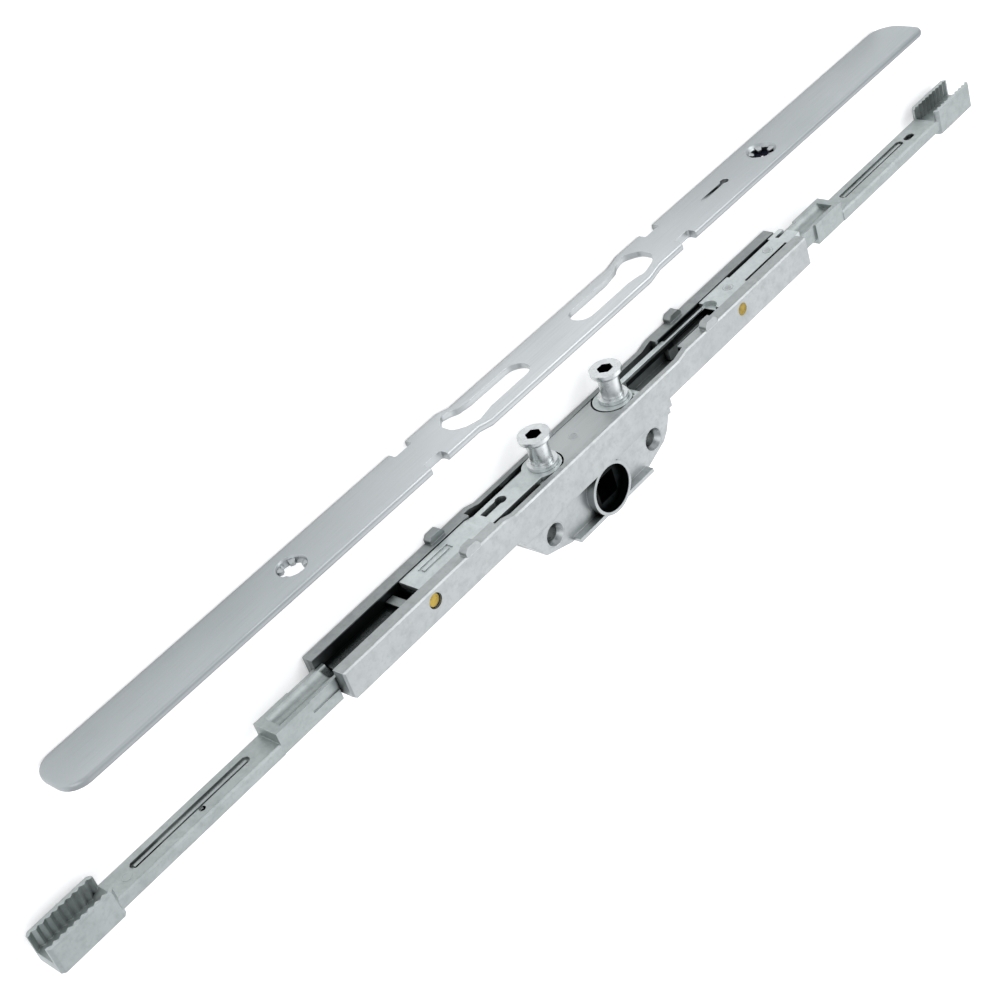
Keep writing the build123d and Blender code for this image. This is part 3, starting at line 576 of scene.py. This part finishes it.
# %% Notches and screw holes
half_width = 0.00775
notch_length, notch_width, notch_corner_r = 0.0062, 0.0058, 0.0006
sink_bottom_r, sink_centre, sink_depth = 0.0031, 0.0006, 0.0014
screw_places = (-0.0938, 0.0970)


def round_punch(x, z, radius, vertices):
    return start_primitive("punch", bpy.ops.mesh.primitive_cylinder_add, (x, cut_y, z), vertices=vertices,
                           radius=radius, depth=cut_depth, rotation=(radians(90), 0, 0))


for notch_x in (-0.0495, 0.0523):
    for edge_z in (-half_width, half_width):
        punch = block("punch", (notch_x, cut_y, edge_z), (notch_length, cut_depth, notch_width))
        round_upright_edges(punch, lambda a: True, notch_corner_r, 3)
        cut_out(strip, punch)
for screw_x, hole_r, sink_r in zip(screw_places, (0.0037, 0.0034), (0.0041, 0.0045)):
    cut_out(strip, round_punch(screw_x, 0, hole_r, 48))
    sink = start_primitive("punch", bpy.ops.mesh.primitive_cone_add, (screw_x, strip_face - sink_centre, 0),
                           vertices=48, radius1=sink_r, radius2=sink_bottom_r, depth=sink_depth,
                           rotation=(radians(90), 0, 0))
    cut_out(strip, sink)
print("strip", len(strip.data.vertices), "vertices after punching")

# %% [markdown]
# The small keyhole near the right screw is a hanging hole: a groove that runs down into the strip and
# ends in a round hole. The groove's punch is a block whose far end is lifted, so that the cut fades out.

# %% Hanging hole
hanging_x, hanging_z, hanging_r = 0.0798, -0.0004, 0.00125
groove_x, groove_size, shallow_x, lift = 0.07455, (0.0105, 0.0034, 0.0013), 0.0700, 0.00165
cut_out(strip, round_punch(hanging_x, hanging_z, hanging_r, 32))
groove = block("punch", (groove_x, strip_face, hanging_z), groove_size)


def far_bottom(point):
    return point.x < shallow_x and point.y < strip_face


pick_edges(groove, lambda a, b: far_bottom(a) and far_bottom(b))
bpy.ops.transform.translate(value=(0, lift, 0))
bpy.ops.object.mode_set(mode="OBJECT")
cut_out(strip, groove)
print("strip", len(strip.data.vertices), "vertices after the hanging hole")

# %% [markdown]
# The back rims of the punched slots are broken with a wide bevel, as on the part. Then the curved faces
# are shaded smooth, but the four bends stay sharp lines, because the press folds them so.

# %% Back rims and shading
back_bevel = 0.0008
slots_from, slots_to, slots_half = -0.0400, 0.0440, 0.0056


def on_back(point):
    # True on the back of the strip about the slots: it lies lower between the bends
    rise = (point.x - bends[0]) / (bends[1] - bends[0])
    fall = (bends[3] - point.x) / (bends[3] - bends[2])
    down = min(1.0, max(0.0, min(rise, fall)))
    about_slots = abs(point.z) < slots_half and slots_from < point.x < slots_to
    return about_slots and abs(point.y - (strip_back - press_down * down)) < 2 * near


pick_edges(strip, lambda a, b: on_back(a) and on_back(b) and (abs(a.z) > near or abs(b.z) > near))
bpy.ops.mesh.bevel(offset=back_bevel, segments=1, affect="EDGES")
bpy.ops.object.mode_set(mode="OBJECT")
bpy.ops.object.shade_smooth_by_angle(angle=radians(35))
pick_edges(strip, lambda a, b: any(abs(a.x - x) < near and abs(b.x - x) < near for x in bends))
bpy.ops.mesh.mark_sharp()
bpy.ops.object.mode_set(mode="OBJECT")
strip.data.materials.append(plate_finish)
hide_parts("faceplate")
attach(strip, "plate")
print("strip", len(strip.data.polygons), "faces")

# %% [markdown]
# ## Nibs in the screw holes
# Five small nibs stand in each screw hole of the faceplate. They grip the screw so that it can't fall
# out before the lock is fitted. A nib is a block, tapered in edit mode. It is made five times, each a
# fifth of a turn further on, and the five are joined into one piece.

# %% Screw nibs
nib_count, first_turn = 5, 20
nib_x, nib_y, nib_size, nib_round = 0.0029, strip_back + 0.0010, (0.0015, 0.0015, 0.0024), 0.00012
tip_x, tip_scale, tip_centre = 0.0026, (1, 0.6, 0.45), (0.0022, strip_back + 0.0004, 0)
nib_finish = rolled_strip("nib_steel", (0.36, 0.38, 0.385), (0.48, 0.50, 0.505), rough=0.4)
for side, screw_x, outward in zip(("left", "right"), screw_places, (0.0003, 0)):
    nibs = []
    for step in range(nib_count):
        nib = block("nib", (nib_x, nib_y, 0), nib_size)
        pick_edges(nib, lambda a, b: a.x < tip_x and b.x < tip_x)
        bpy.ops.transform.resize(value=tip_scale, center_override=tip_centre)
        bpy.ops.mesh.select_all(action="SELECT")
        bpy.ops.mesh.bevel(offset=nib_round, segments=2, affect="EDGES")
        bpy.ops.mesh.select_all(action="SELECT")
        bpy.ops.transform.translate(value=(outward, 0, 0))
        bpy.ops.transform.rotate(value=radians(first_turn + 360 / nib_count * step), orient_axis="Y",
                                 center_override=(0, strip_back, 0))
        bpy.ops.transform.translate(value=(screw_x, 0, 0))
        bpy.ops.object.mode_set(mode="OBJECT")
        nibs.append(nib)
    bpy.ops.object.select_all(action="DESELECT")
    for nib in nibs:
        nib.select_set(True)
    bpy.context.view_layer.objects.active = nibs[0]
    bpy.ops.object.join()
    nibs[0].name = side + "_screw_nibs"
    bpy.ops.object.shade_smooth_by_angle(angle=radians(35))
    nibs[0].data.materials.append(nib_finish)
    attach(nibs[0], "plate")
    print(nibs[0].name, len(nibs[0].data.polygons), "faces")

# %% [markdown]
# ## A grip for the right screw
# Behind the nibs of the right hole lies a thin washer of dark plastic, which the screw's thread bites
# into. A ring could be made from two circles, but one disc does it: it is inset once, its middle is
# deleted, and what is left gets a thickness.

# %% Screw grip
grip_r, grip_width, grip_thickness, grip_height = 0.0035, 0.0030, 0.0003, 0.0002
grip_finish, tree, shader, place = new_finish("grip_plastic")
tone = mix_colours(tree, noise(tree, place, 0.0006), (0.0005, 0.001, 0.005), (0.001, 0.002, 0.009))
tree.links.new(tone, shader.inputs["Base Color"])
shader.inputs["Roughness"].default_value = 0.7
shader.inputs["Specular IOR Level"].default_value = 0.08
grip = start_primitive("right_screw_grip", bpy.ops.mesh.primitive_circle_add,
                       (screw_places[1], strip_back + grip_height, 0), vertices=40, radius=grip_r,
                       fill_type="NGON", rotation=(radians(-90), 0, 0))
bpy.ops.object.mode_set(mode="EDIT")
bpy.ops.mesh.select_mode(type="FACE")
bpy.ops.mesh.select_all(action="SELECT")
bpy.ops.mesh.inset(thickness=grip_width)
bpy.ops.mesh.delete(type="FACE")
bpy.ops.object.mode_set(mode="OBJECT")
thick = grip.modifiers.new("thick", "SOLIDIFY")
thick.thickness, thick.offset = grip_thickness, 0
bpy.ops.object.modifier_apply(modifier=thick.name)
grip.data.materials.append(grip_finish)
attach(grip, "plate")
print(grip.name, len(grip.data.polygons), "faces")

# %% [markdown]
# ## Peened ends and an ejector mark
# The rivets of the right bar and the pinion's axle are peened flat, which leaves a shallow ring. The pin
# that pushes a casting out of its mould leaves one too, on the left bar. A disc is inset twice, and
# what is inside the second inset goes down a little. A bump in the material could hint at such a ring,
# but it wouldn't catch the light on its rim.

# %% Peened ends and the ejector mark
disc_depth, disc_sunk, ring_sink = 0.00018, 0.00003, 0.00011
first_inset, second_inset = 0.2, 0.12
small_ring_r, rivet_share = 0.0014, 0.85
mark_x, mark_z, face_height = -0.1645, 0.0008, 0.0046


def shallow_ring(name, body, finish, place, radius):
    x, y, z = place
    ring = start_primitive(name, bpy.ops.mesh.primitive_cylinder_add, (x, y - disc_sunk, z),
                           vertices=40, radius=radius, depth=disc_depth, rotation=(radians(90), 0, 0))
    bpy.ops.object.mode_set(mode="EDIT")
    bpy.ops.mesh.select_mode(type="FACE")
    bpy.ops.mesh.select_all(action="DESELECT")
    bpy.ops.object.mode_set(mode="OBJECT")
    for face in ring.data.polygons:
        face.select = face.normal.y > 0.9
    bpy.ops.object.mode_set(mode="EDIT")
    bpy.ops.mesh.inset(thickness=radius * first_inset)
    bpy.ops.mesh.inset(thickness=radius * second_inset)
    bpy.ops.transform.translate(value=(0, -ring_sink, 0))
    bpy.ops.object.mode_set(mode="OBJECT")
    bpy.ops.object.shade_smooth_by_angle(angle=radians(30))
    ring.data.materials.append(finish)
    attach(ring, body)
    print(name, "at", [round(c, 4) for c in place])


rivet_low, rivet_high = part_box("right_bar_rivets")
rivet_r = (rivet_high[2] - rivet_low[2]) / 2
for label, rivet_x in (("inner", rivet_low[0] + rivet_r), ("outer", rivet_high[0] - rivet_r)):
    shallow_ring("peened_rivet_" + label, "right_drive", slide_finish,
                 (rivet_x, rivet_high[1], 0), rivet_r * rivet_share)
axle, axle_top = middle("pinion_axle"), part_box("pinion_axle")[1][1]
shallow_ring("peened_axle", "case", bridge_finish, (axle[0], axle_top, axle[2]), small_ring_r)
bar_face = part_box("left_drive_bar")[0][1] + face_height
shallow_ring("ejector_mark", "left_drive", bar_finish, (mark_x, bar_face, mark_z),
             small_ring_r)

# %% [markdown]
# ## The studio floor
# The lock lies on its rear face on a pale floor. The floor glows a little by itself, so that it stays
# near white in the picture, and yet soft shadows still show beside the part.

# %% Floor
floor_z = built_box[0][2]
bpy.ops.mesh.primitive_plane_add(size=6.0, location=(0, 0, floor_z))
floor = bpy.context.object
floor.name = "studio_floor"
floor_finish, tree, shader, place = new_finish("floor_white")
tone = mix_colours(tree, noise(tree, place, 0.4, 2.0), (0.90, 0.90, 0.90), (0.93, 0.93, 0.93))
tree.links.new(tone, shader.inputs["Base Color"])
shader.inputs["Roughness"].default_value = 0.8
shader.inputs["Emission Color"].default_value = (1.0, 1.0, 1.0, 1)
shader.inputs["Emission Strength"].default_value = 0.35
floor.data.materials.append(floor_finish)
print("floor at", round(floor_z, 5))

# %% [markdown]
# ## The lights
# Flat metal shows what it mirrors. The key light hangs opposite the camera, where the faces turned up
# mirror it. The edge light hangs where the faceplate's rims mirror it, and the fill light stands
# behind the camera. A bright sky does the rest. All are wide, so that their highlights are soft.

# %% Lights
def soft_light(name, place, size, power):
    # A rectangle of light that faces the origin
    data = bpy.data.lights.new(name, "AREA")
    data.shape = "RECTANGLE"
    data.size, data.size_y = size
    data.energy = power
    lamp = bpy.data.objects.new(name, data)
    lamp.location = place
    lamp.rotation_euler = (-Vector(place)).to_track_quat("-Z", "Y").to_euler()
    bpy.context.scene.collection.objects.link(lamp)
    print(name, power, "W at", place)


soft_light("key_light", (0.55, -0.65, 0.75), (1.1, 0.9), 2.2)
soft_light("edge_light", (0.60, 0.79, 0.68), (0.6, 0.6), 3.1)
soft_light("fill_light", (-0.9, 0.5, 0.6), (0.9, 0.9), 2.0)
world = bpy.data.worlds.new("studio_air")
world.use_nodes = True
sky = world.node_tree.nodes["Background"]
sky.inputs["Color"].default_value = (0.95, 0.97, 1.0, 1)
sky.inputs["Strength"].default_value = 0.95
bpy.context.scene.world = world
bpy.context.scene.view_settings.view_transform = "Standard"

# %% [markdown]
# ## The camera
# The camera's place and turn were worked out from the picture: each named feature, such as a cam head
# or a fixing, falls on its own pixel. The columns of the matrix are the camera's right, up and back.

# %% Camera
camera_data = bpy.data.cameras.new("studio_camera")
camera_data.sensor_width = 36.0
camera_data.lens = 68.73
camera = bpy.data.objects.new("studio_camera", camera_data)
right, up, back = (0.6345, -0.2817, 0.7198), (0.5931, 0.7746, -0.2197), (-0.4957, 0.5663, 0.6585)
spot = (-0.2723, 0.2932, 0.32085)
camera.matrix_world = Matrix([[right[i], up[i], back[i], spot[i]] for i in range(3)] + [[0, 0, 0, 1]])
bpy.context.scene.collection.objects.link(camera)
bpy.context.scene.camera = camera
print("camera at", spot, "lens", camera_data.lens)
